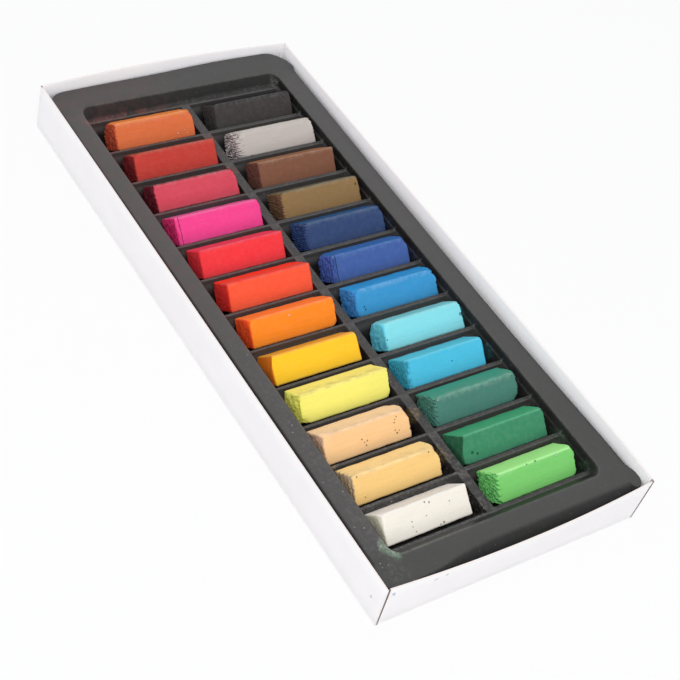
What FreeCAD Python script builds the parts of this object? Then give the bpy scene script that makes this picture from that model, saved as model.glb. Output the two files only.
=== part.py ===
import math
import os

import FreeCAD
import Part

# An open card box with a formed plastic tray that holds two columns of soft pastel sticks.
# Lengths are millimetres and angles are degrees.
# X runs across the box, Y along it towards its far end, and Z up.
# The origin is the middle of the box's underside.

# Pastel sticks: square bars that lie on one long edge.
stick_side = 9.8
stick_length = 32.4
long_edge_wear = 0.8
lean_most = 6.0

# Tray: one thin sheet formed into a rim, a sunk field of pockets and a skirt.
sheet = 0.5
groove_room = 0.55
groove_wall = 1.7
rib_crest = 1.6
crest_round = 0.5
pocket_spare = 6.1
pocket_end_draft = 3.5
spine = 3.4
spine_round = 0.6
end_shelf = 1.5
side_shelf = 0.2
end_slope_run = 3.1
side_slope_run = 0.4
field_corner = 2.5
rim_inner_corner = 4.5
rim_inner_round = 0.9
rim_rise = 3.5
side_rim = 9.2
end_rim = 10.3
rim_corner = 9.0
rim_roll = 2.5
side_waist = 1.0

# Card box: a floor with four walls folded up from it.
board = 0.6
fold_round = 0.5
wall_rise = 4.1
side_lean = 1.2
end_bow = 2.2
corner_slit = 0.35

# Clearances between separate pieces.
seat_gap = 0.3
stick_end_gap = 0.3
tray_foot_gap = 0.4
tray_gap = 0.4

# Length below which two positions count as the same.
hair = 0.001

# Every stick in its column, from the far end to the near end: its name, its place between the
# outer end (0) and the spine end (1) of its pocket, and its lean as a share of the most.
left_column_shares = [
    ("stick_burnt_orange", 1.00, 0.6),
    ("stick_brick_red", 0.85, 0.3),
    ("stick_crimson", 0.70, -0.2),
    ("stick_hot_pink", 0.80, 0.2),
    ("stick_red", 0.90, 0.5),
    ("stick_orange_red", 0.95, 0.9),
    ("stick_orange", 0.80, 0.4),
    ("stick_golden_yellow", 0.50, -0.2),
    ("stick_lemon", 0.70, 0.8),
    ("stick_peach", 0.05, 0.7),
    ("stick_ochre", 0.20, 0.5),
    ("stick_white", 0.15, -0.8),
]
right_column_shares = [
    ("stick_black", 0.10, 0.3),
    ("stick_light_grey", 0.05, -0.4),
    ("stick_brown", 0.20, 0.4),
    ("stick_olive", 0.35, 0.2),
    ("stick_navy", 0.30, -0.3),
    ("stick_ultramarine", 0.20, 0.5),
    ("stick_cobalt", 0.25, 0.6),
    ("stick_turquoise", 0.25, -0.2),
    ("stick_sky_blue", 0.70, 0.3),
    ("stick_dark_green", 0.60, 0.6),
    ("stick_green", 0.75, 0.4),
    ("stick_light_green", 0.55, 0.1),
]

# Sizes across one groove and between the rows.
rows = len(left_column_shares)
groove_half = stick_side / math.sqrt(2) + groove_room
row_pitch = 2 * groove_half + rib_crest
last_row = row_pitch * (rows - 1) / 2

# Heights, from the floor of the box upwards.
groove_foot = board + tray_foot_gap
groove_root = groove_foot + sheet * math.sqrt(2)
crest_level = groove_root + groove_half + groove_wall
rim_level = crest_level + rim_rise
box_height = rim_level + wall_rise

# Distances from the middle outwards, across the box and along it.
pocket_inner = spine / 2
pocket_outer = pocket_inner + stick_length + pocket_spare
field_half_x = pocket_outer + side_shelf
field_half_y = last_row + groove_half + end_shelf
rim_edge_x = field_half_x + side_slope_run
rim_edge_y = field_half_y + end_slope_run
tray_half_x = rim_edge_x + side_rim
tray_half_y = rim_edge_y + end_rim
box_half_x = tray_half_x + tray_gap + board
box_half_y = tray_half_y + tray_gap + board


def vec(x, y, z):
    return FreeCAD.Vector(x, y, z)


def line(a, b):
    return Part.makeLine(a, b)


def arc(a, middle, b):
    return Part.Arc(a, middle, b).toShape()


def flat_face(edges):
    return Part.Face(Part.Wire(edges))


def polygon_face(points):
    return Part.Face(Part.makePolygon(points + [points[0]]))


def centred_box(half_x, half_y, bottom, top):
    corner = vec(-half_x, -half_y, bottom)
    return Part.makeBox(2 * half_x, 2 * half_y, top - bottom, corner)


def edges_at(solid, level):
    found = []
    for edge in solid.Edges:
        if all(abs(vertex.Z - level) < hair for vertex in edge.Vertexes):
            found.append(edge)
    return found


def upright_edges(solid):
    found = []
    for edge in solid.Edges:
        first = edge.Vertexes[0].Point
        last = edge.Vertexes[-1].Point
        if abs(first.x - last.x) < hair and abs(first.y - last.y) < hair:
            found.append(edge)
    return found


def mirrored_in_x(shape):
    return shape.mirror(vec(0, 0, 0), vec(1, 0, 0))


def mirrored_in_y(shape):
    return shape.mirror(vec(0, 0, 0), vec(0, 1, 0))


# Card box

def box_floor():
    slab = centred_box(box_half_x, box_half_y, 0, board)
    return slab.makeFillet(fold_round, edges_at(slab, 0))


# Each side wall leans outwards from its fold, which springs back a little.
def side_wall():
    inner = box_half_x - board
    points = [
        vec(inner, -box_half_y, board),
        vec(box_half_x, -box_half_y, board),
        vec(box_half_x + side_lean, -box_half_y, box_height),
        vec(inner + side_lean, -box_half_y, box_height),
    ]
    return polygon_face(points).extrude(vec(0, 2 * box_half_y, 0))


def end_wall_outline(bow, level):
    lean = side_lean * (level - board) / (box_height - board)
    half = box_half_x - board - corner_slit + lean
    outer = -box_half_y
    inner = outer + board
    outer_left = vec(-half, outer, level)
    outer_right = vec(half, outer, level)
    inner_left = vec(-half, inner, level)
    inner_right = vec(half, inner, level)
    outer_middle = vec(0, outer - bow, level)
    inner_middle = vec(0, inner - bow, level)
    edges = [
        arc(outer_left, outer_middle, outer_right),
        line(outer_right, inner_right),
        arc(inner_right, inner_middle, inner_left),
        line(inner_left, outer_left),
    ]
    return Part.Wire(edges)


# The fold keeps an end wall straight at the floor, and its free top edge bows outwards.
# The foot's bow of a hair makes both outlines arcs, so the wall between them is one surface.
def end_wall():
    foot = end_wall_outline(hair, board)
    top = end_wall_outline(end_bow, box_height)
    return Part.makeLoft([foot, top], True, True)


# Each end wall stands between the side walls, with an open slit at both of its corners.
def slit_at_corner():
    inner = box_half_x - board - corner_slit
    corner = vec(inner, -box_half_y - board, -board)
    return Part.makeBox(corner_slit, 2 * board, 2 * board, corner)


def card_box():
    walls = [side_wall(), mirrored_in_x(side_wall()), end_wall(), mirrored_in_y(end_wall())]
    body = box_floor().fuse(walls)
    near_right = slit_at_corner()
    near_left = mirrored_in_x(near_right)
    slits = [near_right, near_left, mirrored_in_y(near_right), mirrored_in_y(near_left)]
    return body.cut(slits).removeSplitter()


# Pastel tray

# The tray's outside, or with an inset the hollow under its sheet.
# Its long sides are drawn in slightly at the waist.
def tray_block(inset):
    half_x = tray_half_x - inset
    half_y = tray_half_y - inset
    waist_x = half_x - side_waist
    bottom = board - inset
    top = rim_level - inset
    near_left = vec(-half_x, -half_y, bottom)
    near_right = vec(half_x, -half_y, bottom)
    far_left = vec(-half_x, half_y, bottom)
    far_right = vec(half_x, half_y, bottom)
    edges = [
        line(near_left, near_right),
        arc(near_right, vec(waist_x, 0, bottom), far_right),
        line(far_right, far_left),
        arc(far_left, vec(-waist_x, 0, bottom), near_left),
    ]
    block = flat_face(edges).extrude(vec(0, 0, top - bottom))
    block = block.makeFillet(rim_corner - inset, upright_edges(block))
    return block.makeFillet(rim_roll - inset, edges_at(block, top))


def rounded_outline(half_x, half_y, radius, level):
    diagonal = radius * (1 - 1 / math.sqrt(2))
    edges = []
    for turn in range(4):
        sign_x = (1, -1, -1, 1)[turn]
        sign_y = (1, 1, -1, -1)[turn]
        on_side = vec(sign_x * half_x, sign_y * (half_y - radius), level)
        on_corner = vec(sign_x * (half_x - diagonal), sign_y * (half_y - diagonal), level)
        on_end = vec(sign_x * (half_x - radius), sign_y * half_y, level)
        if sign_x * sign_y > 0:
            edges.append(arc(on_side, on_corner, on_end))
            edges.append(line(on_end, vec(-on_end.x, on_end.y, level)))
        else:
            edges.append(arc(on_end, on_corner, on_side))
            edges.append(line(on_side, vec(on_side.x, -on_side.y, level)))
    return Part.Wire(edges)


# The sunk field, with steep sides and sloping ends.
# With a growth it is the outside of the sheet that forms it.
def field_recess(growth):
    bottom = crest_level - growth
    rise = rim_level - bottom
    low_x = field_half_x + growth
    low_y = field_half_y + growth
    high_x = low_x + side_slope_run * rise / rim_rise
    high_y = low_y + end_slope_run * rise / rim_rise
    low = rounded_outline(low_x, low_y, field_corner + growth, bottom)
    high = rounded_outline(high_x, high_y, rim_inner_corner + growth, rim_level)
    return Part.makeLoft([low, high], True, True)


# One pocket: a square-cornered groove with rounded crests, cut to length by its two end walls.
def pocket(row_y):
    shoulder = groove_root + groove_half
    round_start = crest_level - crest_round
    wide = groove_half + crest_round
    arc_y = wide - crest_round / math.sqrt(2)
    arc_z = round_start + crest_round / math.sqrt(2)
    profile = [
        line(vec(0, row_y, groove_root), vec(0, row_y + groove_half, shoulder)),
        line(vec(0, row_y + groove_half, shoulder), vec(0, row_y + groove_half, round_start)),
        arc(
            vec(0, row_y + groove_half, round_start),
            vec(0, row_y + arc_y, arc_z),
            vec(0, row_y + wide, crest_level),
        ),
        line(vec(0, row_y + wide, crest_level), vec(0, row_y + wide, rim_level)),
        line(vec(0, row_y + wide, rim_level), vec(0, row_y - wide, rim_level)),
        line(vec(0, row_y - wide, rim_level), vec(0, row_y - wide, crest_level)),
        arc(
            vec(0, row_y - wide, crest_level),
            vec(0, row_y - arc_y, arc_z),
            vec(0, row_y - groove_half, round_start),
        ),
        line(vec(0, row_y - groove_half, round_start), vec(0, row_y - groove_half, shoulder)),
        line(vec(0, row_y - groove_half, shoulder), vec(0, row_y, groove_root)),
    ]
    groove = flat_face(profile).extrude(vec(box_half_x, 0, 0))
    return groove.common(pocket_length_limits(row_y))


def pocket_end_run(height):
    return math.tan(math.radians(pocket_end_draft)) * height


# The two end walls of a pocket lean outwards, and the spine's edge is rounded.
def pocket_length_limits(row_y):
    near = row_y - row_pitch / 2
    base = groove_root - sheet
    round_start = crest_level - spine_round
    arc_x = pocket_inner - spine_round + spine_round / math.sqrt(2)
    arc_z = round_start + spine_round / math.sqrt(2)
    inner_base = pocket_inner + pocket_end_run(round_start - base)
    outer_base = pocket_outer - pocket_end_run(crest_level - base)
    outer_top = pocket_outer + pocket_end_run(rim_rise)
    start = vec(inner_base, near, base)
    round_foot = vec(pocket_inner, near, round_start)
    round_top = vec(pocket_inner - spine_round, near, crest_level)
    edges = [
        line(start, round_foot),
        arc(round_foot, vec(arc_x, near, arc_z), round_top),
        line(round_top, vec(round_top.x, near, rim_level)),
        line(vec(round_top.x, near, rim_level), vec(outer_top, near, rim_level)),
        line(vec(outer_top, near, rim_level), vec(outer_base, near, base)),
        line(vec(outer_base, near, base), start),
    ]
    return flat_face(edges).extrude(vec(0, row_pitch, 0))


# The sheet under one column: a zigzag of grooves, one below each row.
def column_underside():
    start_x = pocket_inner - sheet
    half = groove_half + sheet
    shoulder = groove_foot + half
    valley = groove_foot + row_pitch / 2
    points = [vec(start_x, -last_row - half, crest_level)]
    points.append(vec(start_x, -last_row - half, shoulder))
    for row in range(rows):
        row_y = row * row_pitch - last_row
        points.append(vec(start_x, row_y, groove_foot))
        if row < rows - 1:
            points.append(vec(start_x, row_y + row_pitch / 2, valley))
    points.append(vec(start_x, last_row + half, shoulder))
    points.append(vec(start_x, last_row + half, crest_level))
    length = pocket_outer + sheet - start_x
    return polygon_face(points).extrude(vec(length, 0, 0))


def pastel_tray():
    body = tray_block(0).cut(field_recess(0))
    rim_edges = []
    for edge in edges_at(body, rim_level):
        box = edge.BoundBox
        if max(abs(box.XMin), abs(box.XMax)) < rim_edge_x + hair:
            if max(abs(box.YMin), abs(box.YMax)) < rim_edge_y + hair:
                rim_edges.append(edge)
    body = body.makeFillet(rim_inner_round, rim_edges)
    pockets = []
    for row in range(rows):
        right = pocket(row * row_pitch - last_row)
        pockets.append(right)
        pockets.append(mirrored_in_x(right))
    body = body.cut(pockets)
    underside = [field_recess(sheet), column_underside(), mirrored_in_x(column_underside())]
    hollow = tray_block(sheet).cut(underside)
    return body.cut(hollow)


# Pastel sticks

# Distance from a leaning stick's axis to the sloping groove walls it rests between.
def stick_reach(lean):
    flat_half = stick_side / 2 - long_edge_wear
    turn = math.radians(45 - abs(lean))
    return flat_half * math.sqrt(2) * math.cos(turn) + long_edge_wear


def stick(row_y, side, place_share, lean_share):
    half = stick_side / 2
    bar = Part.makeBox(stick_length, stick_side, stick_side, vec(-stick_length / 2, -half, -half))
    long_edges = [edge for edge in bar.Edges if edge.BoundBox.XLength > stick_side]
    bar = bar.makeFillet(long_edge_wear, long_edges)

    lean = lean_share * lean_most
    bar.rotate(vec(0, 0, 0), vec(1, 0, 0), 45 + lean)
    height = groove_root + math.sqrt(2) * (stick_reach(lean) + seat_gap)
    run = pocket_end_run(crest_level - groove_root) + stick_end_gap
    outermost = pocket_outer - run - stick_length / 2
    innermost = pocket_inner + run + stick_length / 2
    place = outermost + place_share * (innermost - outermost)
    bar.translate(vec(side * place, row_y, height))
    return bar


def save(shape, name):
    shape.exportStep("parts/" + name + ".step")


os.makedirs("parts", exist_ok=True)
save(card_box(), "card_box")
save(pastel_tray(), "pastel_tray")
for side, column in ((-1, left_column_shares), (1, right_column_shares)):
    for row in range(rows):
        name, place_share, lean_share = column[row]
        row_y = last_row - row * row_pitch
        save(stick(row_y, side, place_share, lean_share), name)
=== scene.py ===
import math

import bmesh
import bpy
from mathutils import Matrix, Vector, noise


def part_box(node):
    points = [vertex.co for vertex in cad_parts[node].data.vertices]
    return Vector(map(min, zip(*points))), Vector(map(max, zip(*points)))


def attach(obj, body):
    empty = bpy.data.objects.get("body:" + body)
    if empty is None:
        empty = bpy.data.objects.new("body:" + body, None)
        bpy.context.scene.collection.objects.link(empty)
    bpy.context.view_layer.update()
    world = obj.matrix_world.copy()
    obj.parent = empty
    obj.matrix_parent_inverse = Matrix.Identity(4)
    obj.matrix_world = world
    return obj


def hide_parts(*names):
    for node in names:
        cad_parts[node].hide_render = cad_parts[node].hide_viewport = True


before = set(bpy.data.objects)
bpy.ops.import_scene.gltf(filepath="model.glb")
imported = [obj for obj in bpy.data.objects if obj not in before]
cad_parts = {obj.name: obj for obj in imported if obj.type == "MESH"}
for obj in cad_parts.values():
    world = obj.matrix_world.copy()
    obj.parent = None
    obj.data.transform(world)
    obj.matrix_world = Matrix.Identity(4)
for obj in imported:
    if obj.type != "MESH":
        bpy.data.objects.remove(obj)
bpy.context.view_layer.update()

# Lengths below are millimetres, as in the part's source, and each mesh is brought to metres last.
MM = 0.001

# Sticks: section, length, rounding of the long edges, and the most that one is turned in its
# pocket, in degrees.
STICK_SIDE = 9.8
STICK_LENGTH = 32.4
STICK_EDGE_ROUND = 0.55
LEAN_MOST = 6.0

# Pockets: their rows along Y, the width of each from its root to the far and to the near rib,
# the level of the root, the height and the inset of the upright wall above the V, the spine's
# half width, the slope of a pocket's ends, and the levels of the ribs and of the V's top.
ROWS = 12
ROW_PITCH = 16.559
LAST_ROW = 91.075
GROOVE_HALF = 7.48
GROOVE_NEAR = 7.6
GROOVE_ROOT = 1.707
GROOVE_WALL = 1.7
WALL_INSET = 0.25
POCKET_INNER = 1.7
POCKET_DRAFT = math.tan(math.radians(3.5))
CREST_LEVEL = 10.887
SHOULDER_LEVEL = CREST_LEVEL - GROOVE_WALL

# Half sizes of the field that holds the pockets, of the recess at the rim and of the tray, the
# roll between rim and skirt, how far the long sides draw in, and the sheet's thickness.
FIELD_X = 40.3
FIELD_Y = 100.055
RIM_LEVEL = 14.387
RIM_EDGE_X = 40.8
RIM_EDGE_Y = 103.155
TRAY_X = 50.0
TRAY_Y = 113.455
RIM_ROLL = 2.5
WAIST = 1.0
SHEET = 0.5

# Roundings of the tray's edges.
FIELD_CORNER = 3.2
POCKET_CORNER = 1.0
SHOULDER_ROUND = 0.6
CREST_ROUND = 0.72
RIM_EDGE_ROUND = 0.9

# The rim's rounded outer corners: side, end and radius.
RIM_CORNERS = [(-1, -1, 5.0), (1, -1, 4.0), (1, 1, 9.0), (-1, 1, 7.5)]

# The left ribs' trimmed near sides, and how far the spine's top leans left, near and far.
RIB_TRIM = 0.62
RIB_TRIM_REACH = 1.4
SPINE_LEAN_NEAR, SPINE_LEAN_FAR = 0.75, 0.35

# Card box: half sizes, height, thickness and rounded edges, how far the sides lean and the ends
# bow outwards at the top, and the slits beside the end walls.
BOX_X = 51.0
BOX_Y = 114.455
BOX_TOP = 18.487
BOARD = 0.6
CARD_EDGE_ROUND = 0.16
SIDE_LEAN = 1.2
END_BOW = 2.2
SLIT = 0.35


# Shader maths

def linear(red, green, blue):
    """A colour given as it looks on a screen, 0 to 255, as the shader wants it."""
    parts = []
    for level in (red, green, blue):
        level = level / 255
        parts.append(level / 12.92 if level <= 0.04045 else ((level + 0.055) / 1.055) ** 2.4)
    return (*parts, 1.0)


def paler(colour, share):
    return [part + (1 - part) * share for part in colour[:3]] + [1]


def darker(colour, keep):
    return [part * keep for part in colour[:3]] + [1]


class Signal:
    """A node's output that takes part in arithmetic, each step of which is a Math node."""

    def __init__(self, graph, socket):
        self.graph = graph
        self.socket = socket

    def math(self, operation, *terms):
        return self.graph.node("ShaderNodeMath", {"operation": operation}, dict(enumerate(terms)))

    def __add__(self, other):
        return self.math("ADD", self, other)

    __radd__ = __add__

    def __sub__(self, other):
        return self.math("SUBTRACT", self, other)

    def __rsub__(self, other):
        return self.math("SUBTRACT", other, self)

    def __mul__(self, other):
        return self.math("MULTIPLY", self, other)

    __rmul__ = __mul__

    def __truediv__(self, other):
        return self.math("DIVIDE", self, other)

    def __abs__(self):
        return self.math("ABSOLUTE", self)

    def least(self, other):
        return self.math("MINIMUM", self, other)

    def most(self, other):
        return self.math("MAXIMUM", self, other)

    def fract(self):
        return self.math("FRACT", self)

    def ramp(self, low, high):
        """0 at low and 1 at high, eased at both ends."""
        sockets = {"Value": self, "From Min": low, "From Max": high}
        return self.graph.node("ShaderNodeMapRange", {"interpolation_type": "SMOOTHSTEP"}, sockets)


def strongest(masks):
    """The highest of one or more masks at each point."""
    joined = masks[0]
    for mask in masks[1:]:
        joined = joined.most(mask)
    return joined


class Graph:
    """A node tree under construction."""

    def __init__(self, tree):
        self.tree = tree
        self.tree.nodes.clear()

    def node(self, kind, settings=None, sockets=None, output=0):
        made = self.tree.nodes.new(kind)
        for key, value in (settings or {}).items():
            setattr(made, key, value)
        for key, value in (sockets or {}).items():
            if isinstance(value, Signal):
                self.tree.links.new(value.socket, made.inputs[key])
            else:
                made.inputs[key].default_value = value
        return Signal(self, made.outputs[output]) if made.outputs else None

    def other(self, signal, name):
        """Another output of the node that gave a signal."""
        return Signal(self, signal.socket.node.outputs[name])

    def backdrop_rays(self):
        """1 for rays that show the background: seen directly, in a gloss or through glass."""
        direct = self.node("ShaderNodeLightPath", output="Is Camera Ray")
        gloss, glass = (self.other(direct, f"Is {kind} Ray") for kind in ("Glossy", "Transmission"))
        return direct.most(gloss).most(glass)


class Finish(Graph):
    """A material, with coordinates in millimetres from its piece's own centre."""

    def __init__(self, name, centre=(0, 0, 0), turn=(0, 0, 0)):
        self.material = bpy.data.materials.new(name)
        self.material.use_nodes = True
        super().__init__(self.material.node_tree)
        place = self.node("ShaderNodeTexCoord", output="Object")
        sockets = {"Vector": place, "Location": [c * MM for c in centre], "Rotation": turn,
                   "Scale": (MM, MM, MM)}
        self.place = self.node("ShaderNodeMapping", {"vector_type": "TEXTURE"}, sockets)
        self.x, self.y, self.z = (
            self.node("ShaderNodeSeparateXYZ", {}, {"Vector": self.place}, axis) for axis in "XYZ")

    def attribute(self, name):
        return self.node("ShaderNodeAttribute", {"attribute_name": name}, output="Fac")

    def stretched(self, scale, shift):
        sockets = {"Vector": self.place, "Scale": scale, "Location": shift}
        return self.node("ShaderNodeMapping", {}, sockets)

    def noise(self, scale, detail=3.0, roughness=0.55, place=None, shift=0.0):
        place = place or self.stretched((1, 1, 1), (shift, shift * 1.7, shift * 0.6))
        sockets = {"Vector": place, "Scale": scale, "Detail": detail, "Roughness": roughness}
        return self.node("ShaderNodeTexNoise", {"noise_dimensions": "3D"}, sockets, "Fac")

    def spot(self, centre, radius, wobble):
        """1 inside a small roundish spot and 0 outside it, with an outline that a noise bends."""
        away = self.node("ShaderNodeVectorMath", {"operation": "DISTANCE"},
                         {0: self.place, 1: centre}, "Value")
        away = away + (wobble - 0.5) * radius * 1.6
        return away.ramp(radius, radius * 0.5)

    def mix(self, share, first, second, blend="MIX"):
        sockets = {0: share, 6: first, 7: second}
        return self.node("ShaderNodeMix", {"data_type": "RGBA", "blend_type": blend}, sockets, 2)

    def dim(self, share, colour, keep):
        """A colour darkened towards a fraction of itself."""
        return self.mix(share, colour, (keep, keep, keep, 1), "MULTIPLY")

    def bump(self, height, depth, normal=None):
        sockets = {"Height": height, "Distance": depth * MM, "Strength": 1.0}
        if normal:
            sockets["Normal"] = normal
        return self.node("ShaderNodeBump", {}, sockets)

    def shade(self, **sockets):
        named = {key.replace("_", " "): value for key, value in sockets.items()}
        return self.show(self.node("ShaderNodeBsdfPrincipled", {}, named))

    def show(self, surface):
        self.node("ShaderNodeOutputMaterial", {}, {"Surface": surface})
        return self.material


# Mesh helpers

def smooth_step(value, low, high):
    share = min(1.0, max(0.0, (value - low) / (high - low)))
    return share * share * (3 - 2 * share)


def cut(bm, axis, place, faces=None):
    """Cuts across one axis, through all faces or only those given."""
    normal = Vector((0, 0, 0))
    normal[axis] = 1
    if faces is None:
        faces = bm.faces[:]
    edges = {edge for face in faces for edge in face.edges}
    verts = {vert for face in faces for vert in face.verts}
    bmesh.ops.bisect_plane(bm, geom=[*faces, *edges, *verts], dist=1e-5,
                           plane_co=normal * place, plane_no=normal)


def bevel(bm, geom, offset, segments, affect="EDGES", clamp=True):
    bmesh.ops.bevel(bm, geom=list(geom), offset=offset, offset_type="OFFSET", affect=affect,
                    segments=segments, profile=0.5, material=-1, clamp_overlap=clamp)


def new_object(name, bm, material):
    mesh = bpy.data.meshes.new(name)
    bm.to_mesh(mesh)
    bm.free()
    mesh.materials.append(material)
    made = bpy.data.objects.new(name, mesh)
    bpy.context.scene.collection.objects.link(made)
    return made


def finish_piece(bm, name, node, slot, material, sharp_angle):
    """The piece that stands in for a node, with edges kept sharp above an angle in degrees."""
    bmesh.ops.scale(bm, vec=(MM, MM, MM), verts=bm.verts[:])
    piece = new_object(name, bm, material)
    piece.data.shade_smooth()
    piece.data.set_sharp_from_angle(angle=math.radians(sharp_angle))
    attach(piece, node)
    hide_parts(node)
    return piece


# Camera, light and floor

def camera():
    made = bpy.data.cameras.new("camera")
    made.lens = 81.2424
    made.clip_start = 0.01
    seen = bpy.data.objects.new("camera", made)
    seen.location = (-0.26471, -0.27071, 0.35981)
    seen.rotation_euler = [math.radians(angle) for angle in (44.0476, -13.5737, -32.3518)]
    bpy.context.scene.collection.objects.link(seen)
    bpy.context.scene.camera = seen


def lamp(name, place, target, size, watts):
    light = bpy.data.lights.new(name, "AREA")
    light.shape = "DISK"
    light.size = size
    light.energy = watts
    held = bpy.data.objects.new(name, light)
    held.location = place
    aim = Vector(target) - Vector(place)
    held.rotation_euler = aim.to_track_quat("-Z", "Y").to_euler()
    bpy.context.scene.collection.objects.link(held)


def surroundings():
    """A pale room, brighter behind the box and overhead than on the near side."""
    world = bpy.data.worlds.new("studio")
    world.use_nodes = True
    graph = Graph(world.node_tree)
    aim = graph.node("ShaderNodeTexCoord", output="Generated")
    toward = graph.node("ShaderNodeVectorMath", {"operation": "DOT_PRODUCT"},
                        {0: aim, 1: (0.55, 0.55, 0.63)}, "Value")
    level = graph.node("ShaderNodeMapRange", {}, {"Value": toward, "From Min": -0.75,
                                                  "From Max": 0.85, "To Min": 0.72, "To Max": 0.95})
    room = graph.node("ShaderNodeBackground", {},
                      {"Color": (0.97, 0.975, 1.0, 1), "Strength": level})
    white = graph.node("ShaderNodeBackground", {}, {"Color": (1, 1, 1, 1)})
    both = graph.node("ShaderNodeMixShader", {}, {0: graph.backdrop_rays(), 1: room, 2: white})
    graph.node("ShaderNodeOutputWorld", {}, {"Surface": both})
    bpy.context.scene.world = world


def floor():
    finish = Finish("pale_floor")
    paper = finish.node("ShaderNodeBsdfDiffuse", {}, {"Color": (0.80, 0.80, 0.80, 1)})
    glow = finish.node("ShaderNodeEmission", {}, {"Color": (1, 1, 1, 1), "Strength": 1.0})
    # Background rays see three quarters glow, so that the box's shadow still shows.
    share = finish.backdrop_rays() * 0.75
    material = finish.show(finish.node("ShaderNodeMixShader", {}, {0: share, 1: paper, 2: glow}))
    bm = bmesh.new()
    bmesh.ops.create_grid(bm, x_segments=1, y_segments=1, size=4)
    new_object("floor", bm, material)


# Formed tray

# Dust that the sticks have left on the tray: colour, reach, strength and places.
PASTEL_DUST = [
    ((175, 195, 172), 2.6, 1.3,
     [(-41.4, -98.0, 14.0), (-41.3, -100.2, 13.8), (-40.7, -102.0, 14.0)]),
    ((96, 150, 110), 2.4, 0.8, [(-41.8, -101.0, RIM_LEVEL), (-40.6, -103.6, RIM_LEVEL)]),
    ((70, 140, 85), 4.5, 0.4, [(39.5, -83, 9), (40, -97, 9.5)]),
    ((60, 90, 150), 4.5, 0.5, [(40, 21, 9), (40, 5, 9), (3, 20, 9)]),
    ((80, 190, 200), 4.0, 0.5, [(40, -26, 9), (40, -43, 9)]),
    ((170, 80, 60), 4.5, 0.6,
     [(-40, 96, 12), (-39.5, 79, 9), (-39.5, 62, 9), (-2, 62, 9), (0, 79, 9)]),
    ((205, 175, 120), 3.5, 0.6, [(-2, -58, 10), (-3, -75, 10), (-39.5, -66, 10)]),
]

# The black that stands for painted shade in the hollows, and the paler black for painted light on
# the flats.
HOLLOW_SHADE_BLACK = (0.007, 0.006, 0.006, 1)
FLAT_LIGHT_BLACK = (0.064, 0.060, 0.059, 1)


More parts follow.
